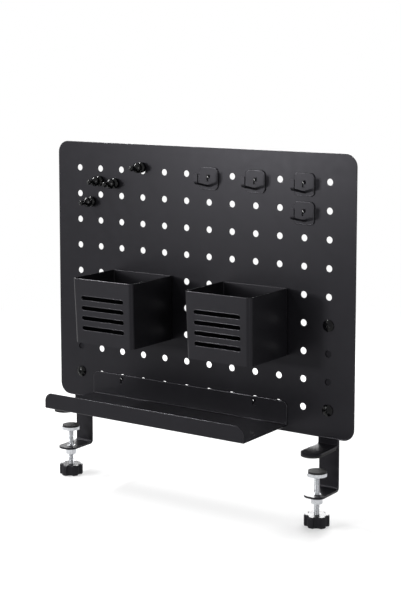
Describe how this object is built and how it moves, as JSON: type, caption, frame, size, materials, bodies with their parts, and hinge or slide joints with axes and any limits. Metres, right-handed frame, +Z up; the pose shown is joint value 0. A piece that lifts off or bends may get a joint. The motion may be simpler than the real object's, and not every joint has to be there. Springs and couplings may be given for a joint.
{
  "type": "clamp-on pegboard desk organizer",
  "caption": "Perforated steel desk board on two screw clamps, with hang-on cups, a channel tray, hooks and magnetic pins.",
  "frame": {"origin": "on the desk top, at mid width, in the plane of the board's front face", "axes": "+X along the desk edge to the user's right, +Y away from the user, +Z up"},
  "size_m": [0.524, 0.134, 0.518],
  "materials": {
    "charcoal_paint": "satin powder coat",
    "charcoal_moulding": "fine satin moulding",
    "black_gloss_moulding": "high gloss",
    "black_moulding": "satin moulding",
    "black_oxide": "glossy black",
    "nickel_magnet": "nickel plate",
    "zinc_steel": "bright zinc plate",
    "rubber": "matt"
  },
  "bodies": {
    "root": {"board": "charcoal_paint", "left_bracket": "charcoal_paint", "left_foot_pad": "rubber", "left_jaw": "charcoal_paint", "left_bush": "zinc_steel", "right_bracket": "charcoal_paint", "right_foot_pad": "rubber", "right_jaw": "charcoal_paint", "right_bush": "zinc_steel", "bolts": "black_oxide", "washers": "zinc_steel", "nuts": "zinc_steel", "rivets": "zinc_steel"},
    "left_pad": {"left_pad_plate": "zinc_steel", "left_pad_rubber": "rubber"},
    "left_screw": {"left_clamp_screw": "zinc_steel", "left_knob": "black_moulding"},
    "right_pad": {"right_pad_plate": "zinc_steel", "right_pad_rubber": "rubber"},
    "right_screw": {"right_clamp_screw": "zinc_steel", "right_knob": "black_moulding"},
    "left_cup": {"left_cup": "charcoal_moulding"},
    "right_cup": {"right_cup": "charcoal_moulding"},
    "tray": {"tray": "charcoal_paint"},
    "hook_1": {"hook_1_plate": "charcoal_paint", "hook_1_arm": "charcoal_paint"},
    "hook_2": {"hook_2_plate": "charcoal_paint", "hook_2_arm": "charcoal_paint"},
    "hook_3": {"hook_3_plate": "charcoal_paint", "hook_3_arm": "charcoal_paint"},
    "hook_4": {"hook_4_plate": "charcoal_paint", "hook_4_arm": "charcoal_paint"},
    "pin_1": {"pin_1_grip": "black_gloss_moulding", "pin_1_magnet": "nickel_magnet"},
    "pin_2": {"pin_2_grip": "black_gloss_moulding", "pin_2_magnet": "nickel_magnet"},
    "pin_3": {"pin_3_grip": "black_gloss_moulding", "pin_3_magnet": "nickel_magnet"},
    "pin_4": {"pin_4_grip": "black_gloss_moulding", "pin_4_magnet": "nickel_magnet"}
  },
  "joints": [
    {"name": "left_pad_slide", "type": "slide", "parent": "root", "child": "left_pad", "axis": [0, 0, 1], "range_m": [-0.02, 0.015]},
    {"name": "left_screw_turn", "type": "hinge", "parent": "left_pad", "child": "left_screw", "pos_m": [-0.22, -0.028, -0.06], "axis": [0, 0, 1], "range_deg": [-5760, 4320]},
    {"name": "right_pad_slide", "type": "slide", "parent": "root", "child": "right_pad", "axis": [0, 0, 1], "range_m": [-0.02, 0.015]},
    {"name": "right_screw_turn", "type": "hinge", "parent": "right_pad", "child": "right_screw", "pos_m": [0.22, -0.028, -0.06], "axis": [0, 0, 1], "range_deg": [-5760, 4320]},
    {"name": "left_cup_lift", "type": "slide", "parent": "root", "child": "left_cup", "axis": [0, 0, 1], "range_m": [0, 0.0036]},
    {"name": "right_cup_lift", "type": "slide", "parent": "root", "child": "right_cup", "axis": [0, 0, 1], "range_m": [0, 0.0036]},
    {"name": "tray_lift", "type": "slide", "parent": "root", "child": "tray", "axis": [0, 0, 1], "range_m": [0, 0.0036]},
    {"name": "hook_1_lift", "type": "slide", "parent": "root", "child": "hook_1", "axis": [0, 0, 1], "range_m": [0, 0.0036]},
    {"name": "hook_2_lift", "type": "slide", "parent": "root", "child": "hook_2", "axis": [0, 0, 1], "range_m": [0, 0.0036]},
    {"name": "hook_3_lift", "type": "slide", "parent": "root", "child": "hook_3", "axis": [0, 0, 1], "range_m": [0, 0.0036]},
    {"name": "hook_4_lift", "type": "slide", "parent": "root", "child": "hook_4", "axis": [0, 0, 1], "range_m": [0, 0.0036]},
    {"name": "pin_1_pull", "type": "slide", "parent": "root", "child": "pin_1", "axis": [0, -1, 0], "range_m": [0, 0.04]},
    {"name": "pin_2_pull", "type": "slide", "parent": "root", "child": "pin_2", "axis": [0, -1, 0], "range_m": [0, 0.04]},
    {"name": "pin_3_pull", "type": "slide", "parent": "root", "child": "pin_3", "axis": [0, -1, 0], "range_m": [0, 0.04]},
    {"name": "pin_4_pull", "type": "slide", "parent": "root", "child": "pin_4", "axis": [0, -1, 0], "range_m": [0, 0.04]}
  ],
  "couplings": [
    {"joint": "left_screw_turn", "follows": "left_pad_slide", "rad_per_m": 5026.5},
    {"joint": "right_screw_turn", "follows": "right_pad_slide", "rad_per_m": 5026.5}
  ]
}
